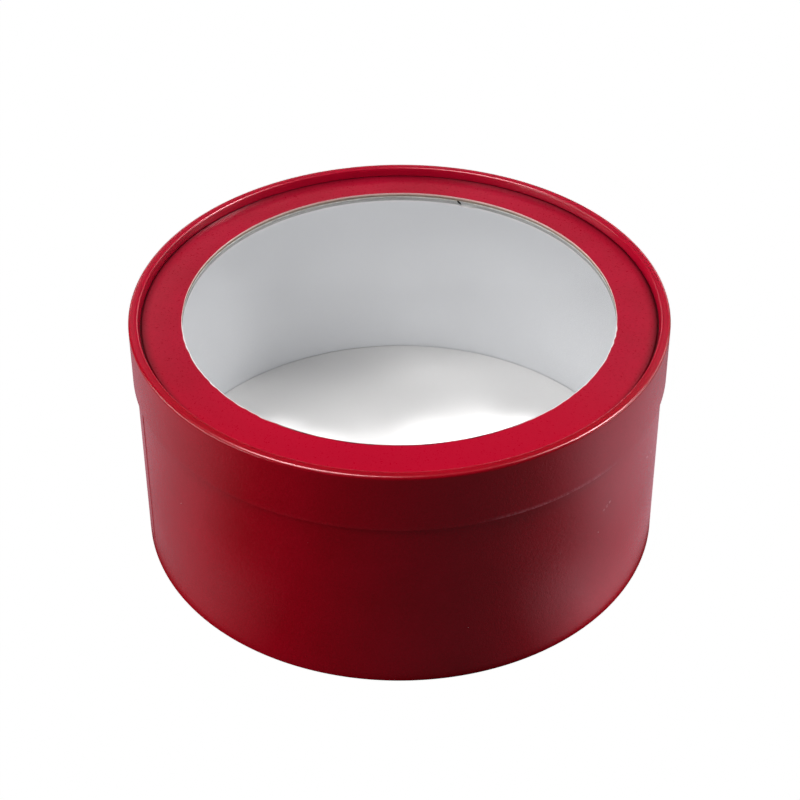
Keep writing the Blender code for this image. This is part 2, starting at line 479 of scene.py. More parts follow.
def board_edge(name, dark, light, upright=True, lit_top_band=None, torn=None):
    """Cut edge of laminated greyboard: thin streaky plies and loose fibres. The plies
    of a flat sheet are stacked up Z, and those of a tube outwards."""
    k = Nodes(name)
    if upright:
        plies = k.noise(1.0, 3.0, 0.6, k.scaled(160.0, 160.0, 2600.0))
        streak = k.noise(1.0, 4.0, 0.7, k.scaled(900.0, 900.0, 5200.0))
    else:
        r, z = k.radius()
        n = k.tree.nodes.new("ShaderNodeSeparateXYZ")
        k.link(k.place, n.inputs[0])
        c = k.tree.nodes.new("ShaderNodeCombineXYZ")
        k.link(k.math("MULTIPLY", n.outputs["X"], 160.0), c.inputs[0])
        k.link(k.math("MULTIPLY", n.outputs["Y"], 160.0), c.inputs[1])
        k.link(k.math("MULTIPLY", r, 2600.0), c.inputs[2])
        plies = k.noise(1.0, 3.0, 0.6, c.outputs[0])
        streak = k.noise(1500.0, 4.0, 0.7)
    tone = k.math("MULTIPLY_ADD", streak, 0.45, k.math("MULTIPLY", plies, 0.55))
    spread = k.ramp(tone, 0.36, 0.64, smooth=False)
    colour = k.mix(spread, dark, light)
    if lit_top_band is not None:
        # painted light: the upper band of the cut edge is paler and warmer, as if lit, and the rest darker, as if
        # shaded
        split, pale_dark, pale_light = lit_top_band
        height = k.math("MULTIPLY_ADD", k.noise(350.0, 3.0, 0.6), 0.00035, k.radius()[1])
        colour = k.mix(k.ramp(height, split + 0.00005, split + 0.00030), colour,
                       k.mix(spread, pale_dark, pale_light))
    if torn is not None:
        colour = k.mix(k.field("torn"), colour, torn)
    fluff = k.noise(2200.0, 3.0, 0.7)
    normal = k.bump(tone, 0.00012, 0.7)
    normal = k.bump(fluff, 0.00005, 0.6, normal)
    k.set(Base_Color=colour, Roughness=k.math("MULTIPLY_ADD", fluff, 0.1, 0.85), Normal=normal)
    k.shader.inputs["Specular IOR Level"].default_value = 0.2
    return k.mat


def cut_paper(name):
    """Cut edge of the panel's red paper: pale torn fibres, and at the front a dark painted shadow."""
    k = Nodes(name)
    fibre = k.noise(1800.0, 3.0, 0.65)
    pale = k.mix(fibre, (0.95, 0.84, 0.84), (0.99, 0.97, 0.97))
    # painted shadow: the dark tone of the cut edge at the front
    painted_shade = k.mix(fibre, (0.10, 0.003, 0.010), (0.20, 0.008, 0.022))
    k.set(Base_Color=k.mix(k.field("cut"), painted_shade, pale), Normal=k.bump(fibre, 0.00005, 0.5),
          Roughness=k.math("MULTIPLY_ADD", fibre, 0.1, 0.65))
    k.shader.inputs["Specular IOR Level"].default_value = 0.2
    return k.mat


def film_material(name):
    """Thin clear film. What isn't reflected goes straight through."""
    k = Nodes(name)
    wobble = k.noise(9.0, 2.0, 0.5)
    fine = k.noise(60.0, 2.0, 0.5)
    normal = k.bump(wobble, 0.0012, 0.35)
    normal = k.bump(fine, 0.00008, 0.25, normal)
    weight = k.node("ShaderNodeLayerWeight", i_Blend=0.5)
    k.link(normal, weight.inputs["Normal"])
    facing = k.math("POWER", weight.outputs["Facing"], 5.0)
    dust = k.ramp(k.noise(1900.0, 2.0, 0.7), 0.74, 0.80)
    alpha = k.math("ADD", k.math("MULTIPLY_ADD", facing, 0.96, 0.036), k.math("MULTIPLY", dust, 0.05), clamp=True)
    k.set(Base_Color=(0.97, 0.98, 1.0), Metallic=1.0, Alpha=alpha, Normal=normal,
          Roughness=k.math("MULTIPLY_ADD", k.noise(300.0, 2.0), 0.03, 0.03))
    return k.mat


def tape_material(name):
    k = Nodes(name)
    cloud = k.noise(500.0, 3.0, 0.6)
    colour = k.mix(k.ramp(cloud, 0.35, 0.65), (0.60, 0.58, 0.55), (0.76, 0.75, 0.72))
    normal = k.bump(k.noise(1200.0, 3.0, 0.6), 0.0001, 0.5)
    k.set(Base_Color=colour, Roughness=k.math("MULTIPLY_ADD", cloud, 0.1, 0.33), Normal=normal)
    return k.mat


# Small marks, at their place on the box (x, y, z in metres, then a relative size).
PANEL_SPECKS = ((0.0248, -0.1090, 0.1188, 1.5), (-0.1125, -0.0282, 0.1188, 0.9),
                (0.0705, 0.0900, 0.1188, 0.8), (-0.0870, 0.0690, 0.1188, 0.7),
                (0.1090, 0.0230, 0.1188, 0.8), (-0.0560, -0.1010, 0.1188, 0.8))
WALL_SPECKS = ((-0.0990, -0.0737, 0.0640, 1.0), (0.0890, -0.0855, 0.0560, 1.0),
               (0.0300, -0.1197, 0.0300, 0.8), (-0.0400, -0.1168, 0.0780, 0.8))

WALL_SCUFFS = ((0.0911, -0.0832, 0.0671, 0.9), (0.0925, -0.0816, 0.0681, 1.0), (0.0940, -0.0800, 0.0691, 0.9),
               (0.1135, -0.0485, 0.0693, 0.7), (0.1161, -0.0418, 0.0668, 0.9), (0.1176, -0.0375, 0.0651, 0.8))

# its crest colour is a painted light tone for the rim's top
WRAP_RED = red_paper("wrap_red", (0.385, 0.0004, 0.0075), (0.490, 0.0011, 0.0140), 0.21, 0.4, grain=0.9,
                     crest=(0.520, 0.0018, 0.0260), wobble=0.5)
BAND_RED = red_paper("band_red", (0.385, 0.0004, 0.0075), (0.490, 0.0011, 0.0140), 0.21, 0.4, grain=0.9,
                     specks=WALL_SPECKS, scuffs=WALL_SCUFFS, wobble=0.5)
# panel colours: a painted light tone for the front side, then a painted shade colour for the dip beside the rim
PANEL_RED = red_paper("panel_red_paper", (0.455, 0.0010, 0.022), (0.590, 0.0024, 0.036), 0.30, 0.45,
                      folds=False, specks=PANEL_SPECKS, grain=0.35, wobble=0.4,
                      panel=((0.63, 0.0012, 0.028), (0.075, 0.0004, 0.0045)))
LINING = white_paper("lining_paper", (0.74, 0.75, 0.77), (0.80, 0.81, 0.83), 0.62)
FLOOR_PAPER = white_paper("floor_paper", (0.80, 0.79, 0.78), (0.86, 0.85, 0.84), 0.60)
UNDER_CARD = white_paper("under_card", (0.76, 0.76, 0.76), (0.83, 0.83, 0.83), 0.6)
UNDERSIDE = white_paper("underside_paper", (0.66, 0.64, 0.61), (0.75, 0.73, 0.70), 0.7)
BAND_INSIDE = white_paper("band_inside", (0.72, 0.71, 0.69), (0.80, 0.79, 0.77), 0.65)
PAPER_CORE = white_paper("paper_core", (0.62, 0.42, 0.42), (0.78, 0.58, 0.58), 0.75, 2.0)
PANEL_CUT = cut_paper("panel_paper_cut")
# its cut edge has a painted lit band at the top over a darker, shaded rest
PANEL_EDGE = board_edge("panel_board_edge", (0.17, 0.125, 0.095), (0.34, 0.255, 0.20),
                        lit_top_band=(0.11798, (0.62, 0.37, 0.31), (0.84, 0.56, 0.49)))
UNDER_EDGE = board_edge("under_ring_edge", (0.29, 0.29, 0.29), (0.44, 0.44, 0.43), torn=(0.92, 0.93, 0.93))
TUBE_EDGE = board_edge("tube_board_edge", (0.30, 0.26, 0.21), (0.50, 0.44, 0.37), upright=False)
BOARD_FACE = board_edge("board_face", (0.34, 0.30, 0.25), (0.46, 0.42, 0.36))
FILM = film_material("clear_window_film")
SHRED = board_edge("dark_shred", (0.006, 0.006, 0.006), (0.020, 0.019, 0.018))
TAPE = tape_material("double_sided_tape")


def done(piece, body, slot, *nodes):
    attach(piece, body)
    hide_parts(*nodes)
    return piece


# --------------------------------------------------------------------------
# Lid: the rolled rim and its paper
# --------------------------------------------------------------------------
RIM_CORNER = 1.5 * MM        # roll's outer bend
CREST = 9.0 * MM             # the crest is slightly domed
CREST_R = 122.0 * MM         # where it is highest
LIP = 1.10 * MM              # inner bend, down into the groove beside the panel
GROOVE = 1.45 * MM           # how much lower the dished panel is at the rim
NOTCH = 0.60 * MM            # and the crevice right beside it
FLANK_FOOT = (119.72 * MM, PANEL_Z - GROOVE - NOTCH + 0.30 * MM)
RISE = math.degrees(math.asin((LID_R - RIM_CORNER - CREST_R) / (CREST - RIM_CORNER)))
FALL = 2.9
WALL_TOP = HEIGHT - CREST + (CREST - RIM_CORNER) * math.cos(math.radians(RISE))
LIP_C = (CREST_R - (CREST - LIP) * math.sin(math.radians(FALL)),
         HEIGHT - CREST + (CREST - LIP) * math.cos(math.radians(FALL)))
N_WALL, N_BEND, N_CREST, N_LIP, N_FLANK = 14, 10, 10, 14, 6


def rim_path(depth=0.0):
    """The lid's outside, from the lower edge over the crest to the panel, depth below
    the surface."""
    path = line((LID_R - depth, LID_EDGE), (LID_R - depth, WALL_TOP), N_WALL, first=True)
    path += arc(LID_R - RIM_CORNER, WALL_TOP, max(RIM_CORNER - depth, 0.05 * MM), 0, 90 - RISE, N_BEND, first=False)
    path += arc(CREST_R, HEIGHT - CREST, CREST - depth, 90 - RISE, 90 + FALL, N_CREST, first=False)
    path += arc(LIP_C[0], LIP_C[1], max(LIP - depth, 0.05 * MM), 90 + FALL, 166, N_LIP, first=False)
    path += line(path[-1], (FLANK_FOOT[0] + depth, FLANK_FOOT[1]), N_FLANK)
    return path


outer = rim_path()
deep = rim_path(PAPER)
lid_section = outer + deep[::-1]
n_out = len(outer)
# how far along the roll each outer point is
fold_of = []
for r, z in outer:
    on_lip = math.exp(-((r - 121.15 * MM) / (0.24 * MM)) ** 2) if z > PANEL_Z + 1.0 * MM else 0.0
    on_edge = math.exp(-((z - LID_EDGE) / (0.16 * MM)) ** 2)
    fold_of.append((on_lip, on_edge))

LID_COLUMNS = 1080
LID_SEAM = math.radians(101.5)
pleat = bumps(7, 150, 0.0030, 0.3, 1.0, spans=((4.85, 6.1), (0.3, 1.2)))
pleat_wide = bumps(11, 46, 0.012, 0.2, 0.8)
rim_wave = wave(3, 2, 9, 0.10 * MM)
edge_wave = wave(5, 2, 14, 0.05 * MM)
round_wave = wave(9, 2, 4, 0.10 * MM)


def around(az, middle, half, soft):
    """1 within half of the azimuth middle (degrees), fading out over soft."""
    d = np.abs((az - math.radians(middle) + math.pi) % TAU - math.pi)
    t = np.clip((math.radians(half + soft) - d) / math.radians(soft), 0, 1)
    return t * t * (3 - 2 * t)


def lid_move(az, r, z, row):
    """The wrap wanders a little, and is pleated where it is rolled over."""
    k = np.minimum(row, 2 * n_out - 1 - row)        # same place on both faces
    s = np.clip((k - N_WALL) / (n_out - 1 - N_WALL), 0, 1)
    over = (k > N_WALL)
    lip = np.exp(-((k - (N_WALL + N_BEND + N_CREST + 3)) / 4.5) ** 2) * over
    much = 0.2 + 0.8 * around(az, 302, 24, 20)
    d = (pleat(az) * 0.085 * MM * lip + pleat_wide(az) * 0.06 * MM * np.sin(np.pi * s) * over) * much
    z = z - d * 0.8
    r = r - d * 0.25
    # the flank's foot wanders in and out by a hair
    foot = np.clip((k - (n_out - 6)) / 5.0, 0, 1)
    r = r + foot * rim_wave(az)
    low = np.clip(1 - k / 3.0, 0, 1)
    z = z + low * (edge_wave(az) * 0.8 + 0.05 * MM)
    r = r - np.abs(round_wave(az)) * 0.6 * np.clip((WALL_TOP - z) / (14 * MM), 0, 1)
    # upright seam at the rear: the sheet below is pressed in beside the overlap's edge
    past = (az - LID_SEAM) * LID_R
    dip = np.where(past > 0, np.exp(-past / (4.0 * MM)), 0.0) * 0.16 * MM
    r = r - dip * (k <= N_WALL + N_BEND) * (row < n_out)
    return r, z


az_lid = np.arange(LID_COLUMNS) / LID_COLUMNS * TAU
rows = len(lid_section)
fold_wear_and_highlight = np.zeros((LID_COLUMNS, rows))


# paler marks on the lid: along the inner lip at the front, a painted highlight with wear ticks at the pleats; and a
# paler line along the lower edge at the front right
front_right = around(az_lid, 306, 15, 14)
front_left = around(az_lid, 266, 14, 14)
lip_strength = 0.0 + (0.22 + 0.62 * pleat(az_lid)) * front_right + (0.10 + 0.15 * pleat(az_lid)) * front_left
edge_strength = 0.02 + 0.50 * around(az_lid, 303, 9, 10)
for q in range(n_out):
    lip, edge = fold_of[q]
    fold_wear_and_highlight[:, q] = np.clip(lip * lip_strength + edge * edge_strength, 0, 1)
top_painted_light = np.zeros((LID_COLUMNS, rows))
flank_painted_shade = np.zeros((LID_COLUMNS, rows))
stretched = np.zeros((LID_COLUMNS, rows))
for q in range(n_out):
    stretched[:, q] = np.clip((q - N_WALL + 2) / (N_BEND * 0.25), 0, 1)
    # painted light over the rim's top, faded out at the front
    top_painted_light[:, q] = np.clip((q - N_WALL - N_BEND * 0.5) / (N_BEND * 0.5), 0, 1) \
        * (1 - 0.9 * around(az_lid, 270, 45, 35))
    # painted shade on the inner flank, most on the left side
    flank_painted_shade[:, q] = np.clip((q - (n_out - 1 - N_FLANK - 5)) / 5.0, 0, 1) * (0.03 + 0.30 * around(az_lid, 178, 22, 25))
slots = [0] * (n_out - 1) + [1] + [2] * (n_out - 1) + [1]
lid_paper = lathe("lid_wrap_paper", lid_section, LID_COLUMNS, lid_move,
                  materials=(WRAP_RED, PAPER_CORE, BAND_INSIDE), slots=slots,
                  fields={"fold_wear_and_highlight": fold_wear_and_highlight, "crest": top_painted_light, "stretched": stretched, "flank": flank_painted_shade})
done(lid_paper, "lid", "lid_wrap_red", "lid_outer_wrap")

# the board band behind it, white inside, whose cut lower edge shows from below
BAND_OUT = LID_R - PAPER - 0.02 * MM
BAND_IN = 123.75 * MM
band_outer = rim_path(PAPER + 0.03 * MM)
inner_top = 119.85 * MM
band_section = band_outer + [(band_outer[-1][0] + 0.95 * MM, band_outer[-1][1]),
                             (121.60 * MM, inner_top), (122.6 * MM, inner_top),
                             (123.45 * MM, inner_top - 0.05 * MM), (BAND_IN, inner_top - 0.35 * MM)]
band_section += line((BAND_IN, inner_top - 0.35 * MM), (BAND_IN, LID_EDGE + 0.12 * MM), 12)
band_section += [(BAND_IN + 0.10 * MM, LID_EDGE + 0.02 * MM)]
n_band = len(band_outer)


def band_move(az, r, z, row):
    low = np.clip(1 - (z - LID_EDGE) / (1.2 * MM), 0, 1)
    z = z + low * (edge_wave(az) * 0.8 + 0.06 * MM)
    r = r - np.abs(round_wave(az)) * 0.6 * np.clip(1 - (z - LID_EDGE) / (26 * MM), 0, 1) * (row < n_band)
    return r, z


band_slots = [1] * (n_band - 1) + [1] * 5 + [0] * 12 + [0, 2]
band = lathe("lid_band_board", band_section, 540, band_move,
             materials=(BAND_INSIDE, BOARD_FACE, TUBE_EDGE),
             slots=band_slots[:len(band_section)])
done(band, "lid", "lid_band_board", "lid_wall_board")

# --------------------------------------------------------------------------
# Lid: the panel, the window and what is behind it
# --------------------------------------------------------------------------
PANEL_OUT = 123.35 * MM
cut_wave = wave(21, 3, 40, 0.035 * MM)


def groove(r):
    """How far the dished panel lies below the window's edge, more and more to the rim."""
    t = np.clip((r - WINDOW_R) / (119.3 * MM - WINDOW_R), 0, 1)
    return GROOVE * (0.55 * t + 0.45 * t ** 3) + NOTCH * np.clip((r - 118.55 * MM) / (0.75 * MM), 0, 1) ** 2


panel_dish = wave(23, 2, 6, 0.03 * MM)


def ring_rows(inner, outer_r, bottom, top, steps, bevel_in=0.05 * MM):
    """Section of a flat ring, walked up the cut inner edge and out over the top."""
    section = [(inner, bottom), (inner, (bottom + top) / 2), (inner, top - bevel_in), (inner + bevel_in, top)]
    section += line((inner + bevel_in, top), (outer_r, top), steps)
    section += [(outer_r, bottom)]
    section += line((outer_r, bottom), (inner, bottom), steps)[:-1]
    return section


def cut_move(shift=None, extra=0.0):
    def move(az, r, z, row):
        near = np.clip(1 - (r - WINDOW_R) / (2.0 * MM), 0, 1)
        r = r + cut_wave(az) * near
        if shift is not None:
            r = r + shift(az, z) * near
        return r, z
    return move


paper_section = ring_rows(WINDOW_R, PANEL_OUT, PANEL_Z - PAPER, PANEL_Z, 40, 0.06 * MM)


def panel_move(az, r, z, row):
    near = np.clip(1 - (r - WINDOW_R) / (2.0 * MM), 0, 1)
    r = r + cut_wave(az) * near
    z = z - groove(r)
    # its cut edge is rounded over more at the sides and the front than at the rear
    over = cut_over(az)
    r = r + (row == 3) * over * 0.50 * MM
    z = z - (row == 2) * np.minimum(over, 1.0) * 0.045 * MM
    return r, z


def cut_over(az):
    return np.clip(around(az, 215, 24, 12) + around(az, 325, 24, 12) + 1.25 * around(az, 270, 28, 12), 0, 1.25) \
        * np.clip(0.85 + 0.35 * cut_rag(az), 0.3, 1.2)


cut_rag = wave(27, 20, 120, 1.0)
panel_az = np.arange(720) / 720 * TAU
# the cut edge is pale all round except at the front, where it takes the dark painted shadow
cut_pale = np.clip(1 - around(panel_az, 270, 26, 14), 0, 1)[:, None]
panel_r = np.array([r for r, _ in paper_section])[None, :]
# painted light: where the panel takes the brighter front tone
front_painted_light = around(panel_az, 270, 30, 45)[:, None] * np.ones_like(panel_r)
# painted shade beside the rim: widest at the rear and least at the front, following the rim's shadow
rear = around(panel_az, 90, 25, 45)[:, None]
front = around(panel_az, 270, 40, 40)[:, None]
start = 114.6 * MM - 4.8 * MM * rear + 2.9 * MM * front
painted_shade = np.clip((panel_r - start) / (119.3 * MM - start), 0, 1) ** 1.5 * (0.92 - 0.55 * front)


panel = lathe("panel_paper", paper_section, 720, panel_move,
              materials=(PANEL_RED, PAPER_CORE, PANEL_CUT), fields={"cut": cut_pale, "front_painted_light": front_painted_light, "painted_shade": painted_shade},
              slots=[1, 1, 2] + [0] * (len(paper_section) - 3))
done(panel, "lid", "panel_red", "lid_top_ring_paper")

BOARD_TOP = PANEL_Z - PAPER - 0.06 * MM
BOARD_BOTTOM = 116.92 * MM
board_section = [(WINDOW_R + 0.02 * MM, BOARD_BOTTOM)]
board_section += line((WINDOW_R + 0.02 * MM, BOARD_BOTTOM), (WINDOW_R + 0.02 * MM, BOARD_TOP), 8)
board_section += line((WINDOW_R + 0.02 * MM, BOARD_TOP), (PANEL_OUT, BOARD_TOP), 24)
board_section += [(PANEL_OUT, BOARD_BOTTOM)]
board_section += line((PANEL_OUT, BOARD_BOTTOM), (WINDOW_R + 0.02 * MM, BOARD_BOTTOM), 4)[:-1]
ply = [wave(31 + q, 5, 90, 0.02 * MM) for q in range(4)]


def board_move(az, r, z, row):
    near = np.clip(1 - (r - WINDOW_R) / (2.0 * MM), 0, 1)
    r = r + cut_wave(az) * near
    for q in range(4):
        here = np.exp(-((z - (BOARD_BOTTOM + (q + 0.5) * 0.40 * MM)) / (0.22 * MM)) ** 2)
        r = r + ply[q](az) * here * near
    low = np.clip((r - 118.1 * MM) / (1.2 * MM), 0, 1)
    return r, z - np.where(z > BOARD_TOP - 0.1 * MM, groove(r), 0.88 * MM * low)


panel_board = lathe("panel_board", board_section, 720, board_move, materials=(PANEL_EDGE, BOARD_FACE),
                    slots=[0] * 8 + [1] * (len(board_section) - 8))
done(panel_board, "lid", "panel_board", "lid_top_ring_board")

# tape: its inner edge follows the window, with one dark shred of it curled out at the rear
TAPE_TOP, TAPE_BOTTOM = BOARD_BOTTOM - 0.02 * MM, 116.28 * MM
tape_wave = wave(41, 4, 60, 0.10 * MM)


def tape_move(az, r, z, row):
    near = np.clip(1 - (r - WINDOW_R) / (3.0 * MM), 0, 1)
    r = r + near * (0.15 * MM + tape_wave(az))
    return r, z


tape_section = ring_rows(WINDOW_R, 117.0 * MM, TAPE_BOTTOM, TAPE_TOP, 6, 0.08 * MM)
curl = [(29.20, 96.60, 116.72), (29.42, 95.90, 116.74), (29.72, 95.30, 116.72), (30.10, 94.65, 116.62),
        (30.48, 94.05, 116.50), (30.80, 93.55, 116.42), (31.02, 93.20, 116.38)]
curl_verts, curl_faces = shred([Vector(p) * MM for p in curl],
                               [k * MM for k in (0.45, 0.80, 0.95, 0.95, 0.85, 0.62, 0.25)],
                               [k * MM for k in (0.12, 0.20, 0.24, 0.24, 0.20, 0.16, 0.10)])
tape = lathe("window_tape", tape_section, 720, tape_move, materials=(TAPE, SHRED),
             extra=(curl_verts, curl_faces, 1))
done(tape, "lid", "tape", "window_adhesive_ring")

FILM_TOP, FILM_BOTTOM = 116.24 * MM, 116.02 * MM
film = disc("window_film_sheet", 118.0 * MM, FILM_BOTTOM, FILM_TOP, 256, 24, materials=(FILM,), slots=(0, 0, 0))
done(film, "lid", "clear_film", "window_film")

under_section = ring_rows(WINDOW_R + 0.05 * MM, PANEL_OUT, UNDER_Z, 115.98 * MM, 8, 0.05 * MM)
under_wave = wave(51, 3, 50, 0.05 * MM)


TORN = math.radians(70.2)    # its lower facing is torn and sticks in here


def under_move(az, r, z, row):
    near = np.clip(1 - (r - WINDOW_R) / (2.5 * MM), 0, 1)
    tongue = np.exp(-np.abs((az - TORN) / 0.034) ** 2.6)
    low = (row == 0) * 1.0 + (row == 1) * 0.35
    return r + under_wave(az) * near - tongue * low * 1.7 * MM, z - tongue * (row == 0) * 0.08 * MM


under_az = np.arange(720) / 720 * TAU
torn = np.zeros((720, len(under_section)))
torn[:, 0] = np.exp(-np.abs((under_az - TORN) / 0.034) ** 2.6)
torn[:, 1] = torn[:, 0] * 0.45


under = lathe("closing_ring_card", under_section, 720, under_move, materials=(UNDER_CARD, UNDER_EDGE),
              slots=[1, 1, 1] + [0] * (len(under_section) - 3), fields={"torn": torn})
done(under, "lid", "under_ring_white", "lid_under_ring")

# --------------------------------------------------------------------------
# Base: red paper, board, lining, floor and underside
# --------------------------------------------------------------------------
FOOT_CORNER = 1.2 * MM
SEAM = math.radians(197.0)          # outer end of the paper's overlap
OVERLAP = 12.0 * MM / BASE_R        # the overlap runs back from it
STEP = 0.20 * MM


def foot_path(depth=0.0, rows=22):
    path = line((BASE_R - depth, BASE_TOP), (BASE_R - depth, FOOT_CORNER), rows, first=True)
    path += arc(BASE_R - FOOT_CORNER, FOOT_CORNER, FOOT_CORNER - depth, 0, -90, 8, first=False)
    path += line(path[-1], (FOOT_IN + FOOT_CORNER, depth), 4)
    path += arc(FOOT_IN + FOOT_CORNER, FOOT_CORNER, FOOT_CORNER - depth, -90, -180, 8, first=False)
    path += line(path[-1], (FOOT_IN + depth, FOOT_TOP), 5)
    return path


foot_outer = foot_path()
foot_inner = foot_path(PAPER)
n_foot = len(foot_outer)
wall_wave = wave(61, 3, 12, 0.05 * MM)
wall_wave2 = wave(62, 2, 7, 0.05 * MM)

# columns: even, with extra ones at the overlap's edge so that the step is crisp
even = np.arange(720) / 720 * TAU
crisp = SEAM + np.array([-0.0030, -0.0012, -0.0004, 0.0, 0.0004, 0.0012, 0.0030]) * 0.9
base_az = np.unique(np.concatenate([even[np.abs(even - SEAM) > 0.0035], crisp]))


def turned_at(name, section, az, move, **how):
    rz = np.array(section, float)
    a = np.broadcast_to(az[:, None], (len(az), len(rz)))
    r = np.broadcast_to(rz[:, 0], a.shape).copy()
    z = np.broadcast_to(rz[:, 1], a.shape).copy()
    r, z = move(a, r, z, np.broadcast_to(np.arange(len(rz)), a.shape))
    return grid_mesh(name, np.stack([r * np.cos(a), r * np.sin(a), z], -1), **how)


def base_move(az, r, z, row):
    outside = row < n_foot
    on_wall = np.clip((z - 1.0 * MM) / (2.0 * MM), 0, 1) * (r > BASE_R - 1.0 * MM)
    # the top sheet ends at the seam, and its other side slopes off over the sheet below
    back = SEAM - az
    top_sheet = np.where(back >= 0, 1.0, 0.0) * np.clip(1.35 - back / OVERLAP, 0, 1) / 1.0
    top_sheet = np.clip(top_sheet / 0.35, 0, 1)
    top_sheet = top_sheet * top_sheet * (3 - 2 * top_sheet)
    r = r + outside * on_wall * top_sheet * STEP
    r = r + on_wall * (wall_wave(az) * np.sin(z / BASE_TOP * math.pi) * 0.8
                       + wall_wave2(az + z * 6.0) * 0.3 - 0.03 * MM)
    return r, z


base_fold = np.zeros((len(base_az), 2 * n_foot))
seam_line = np.exp(-((base_az - SEAM - 0.0002) / 0.0016) ** 2)
for q in range(n_foot):
    r, z = foot_outer[q]
    corner = math.exp(-(((r - BASE_R + 0.35 * MM) / (0.35 * MM)) ** 2 + ((z - 0.35 * MM) / (0.45 * MM)) ** 2))
    base_fold[:, q] = np.clip(0.30 * corner * (0.6 + 0.4 * np.cos(base_az * 7 + 2)), 0, 1)
    if r > BASE_R - 0.2 * MM:
        base_fold[:, q] += 0.30 * seam_line
base_section = foot_outer + foot_inner[::-1]
base_slots = [0] * (n_foot - 1) + [1] + [2] * (n_foot - 1) + [1]
base_paper = turned_at("base_wrap_paper", base_section, base_az, base_move,
                       materials=(BAND_RED, PAPER_CORE, BAND_INSIDE), slots=base_slots,
                       fields={"fold_wear_and_highlight": base_fold})
done(base_paper, "base", "base_wrap_red", "base_outer_wrap")

# board tube with its turned-in foot
D1, D2 = PAPER + 0.06 * MM, 1.62 * MM
tube_outer = foot_path(D1, 10)
tube_section = tube_outer + [(FOOT_IN + D2, FOOT_TOP), (FOOT_IN + D2, D2), (BASE_R - D2, D2)]
tube_section += line((BASE_R - D2, D2), (BASE_R - D2, BASE_TOP - 0.10 * MM), 6) + [(BASE_R - D2 + 0.10 * MM, BASE_TOP)]
top_wave = wave(71, 4, 40, 0.04 * MM)


def tube_move(az, r, z, row):
    near = np.clip(1 - (BASE_TOP - z) / (1.0 * MM), 0, 1)
    return r, z - near * np.abs(top_wave(az)) - near * 0.02 * MM


tube = lathe("base_tube_board", tube_section, 360, tube_move, materials=(BOARD_FACE, TUBE_EDGE),
             slots=[0] * (len(tube_section) - 2) + [0, 1])
done(tube, "base", "greyboard", "base_wall_board")

# white lining, closed at the front by its own upright overlap
LSEAM = math.radians(262.0)
lining_outer = LINER_R + PAPER
lining_section = line((lining_outer, LINER_Z), (lining_outer, BASE_TOP - 0.05 * MM), 12, first=True)
lining_section += line((LINER_R, BASE_TOP - 0.05 * MM), (LINER_R, LINER_Z), 12, first=True)
n_lin = 13
lin_even = np.arange(540) / 540 * TAU
lin_crisp = LSEAM + np.array([-0.003, -0.0012, -0.0004, 0.0004, 0.0012, 0.003])
lin_az = np.unique(np.concatenate([lin_even[np.abs(lin_even - LSEAM) > 0.0035], lin_crisp]))
lin_wave = wave(81, 2, 8, 0.05 * MM)


def lining_move(az, r, z, row):
    inside_face = row >= n_lin
    back = LSEAM - az
    top_sheet = np.where(back >= 0, 1.0, 0.0) * np.clip((1.35 - back / (10.0 * MM / LINER_R)) / 0.35, 0, 1)
    r = r - inside_face * top_sheet * 0.16 * MM
    middle = np.sin(np.clip((z - FLOOR_Z) / (BASE_TOP - FLOOR_Z), 0, 1) * math.pi)
    r = r - inside_face * np.abs(lin_wave(az)) * middle
    return r, z


lining = turned_at("base_lining_paper", lining_section, lin_az, lining_move, materials=(LINING,))
done(lining, "base", "lining_white", "base_inner_liner")

# floor: board disc, white sheet on it with a tiny nick in its edge, sheet under it
FLOOR_R = LINER_R - 0.30 * MM
NICK = math.radians(100.3)
rim_wander = wave(91, 3, 30, 0.05 * MM)


def floor_rim(az):
    d = (az - NICK + math.pi) % TAU - math.pi
    return np.abs(rim_wander(az)) + 0.75 * MM * np.exp(-(d / 0.0042) ** 2)


def floor_lift(x, y):
    r = np.hypot(x, y)
    return 0.05 * MM * (np.cos(r * 45.0) - 1) * np.clip(1 - r / FLOOR_R, 0, 1)


floor_sheet = disc("base_floor_sheet", FLOOR_R, FLOOR_Z - PAPER, FLOOR_Z, 720, 20, bevel=0.04 * MM,
                   lift=floor_lift, rim=floor_rim, materials=(FLOOR_PAPER, PAPER_CORE), slots=(0, 0, 0))
done(floor_sheet, "base", "floor_white", "base_floor_paper")
floor_board = disc("base_floor_board", FLOOR_R, disc_lo.z - 0.2 * MM, FLOOR_Z - PAPER - 0.06 * MM, 360, 3,
                   materials=(BOARD_FACE, PANEL_EDGE), slots=(0, 1, 0))
done(floor_board, "base", "greyboard", "base_bottom_board")
underside = disc("base_underside_sheet", FLOOR_R, bottom_lo.z, bottom_hi.z, 360, 10, bevel=0.04 * MM,
                 materials=(UNDERSIDE,), slots=(0, 0, 0))
done(underside, "base", "underside_white", "base_underside_paper")

# --------------------------------------------------------------------------
# Floor, light and camera
# --------------------------------------------------------------------------
scene = bpy.context.scene
scene.view_settings.view_transform = "Standard"
scene.view_settings.look = "None"
scene.view_settings.exposure = 0.0
scene.view_settings.gamma = 1.0

world = bpy.data.worlds.new("studio")
scene.world = world
world.use_nodes = True
world.node_tree.nodes["Background"].inputs["Color"].default_value = (1.0, 1.0, 1.0, 1.0)
world.node_tree.nodes["Background"].inputs["Strength"].default_value = 0.0


def plane(name, half, z, mat):
    mesh = bpy.data.meshes.new(name)
    mesh.from_pydata([(-half, -half, z), (half, -half, z), (half, half, z), (-half, half, z)], [], [(0, 1, 2, 3)])
    mesh.materials.append(mat)
    obj = bpy.data.objects.new(name, mesh)
    scene.collection.objects.link(obj)
    return obj


def floor_material(name, tone, emit):
    k = Nodes(name)
    k.set(Base_Color=(tone, tone, tone), Roughness=0.9)
    k.shader.inputs["Emission Color"].default_value = (1.0, 1.0, 1.0, 1.0)
    k.shader.inputs["Emission Strength"].default_value = emit
    return k.mat


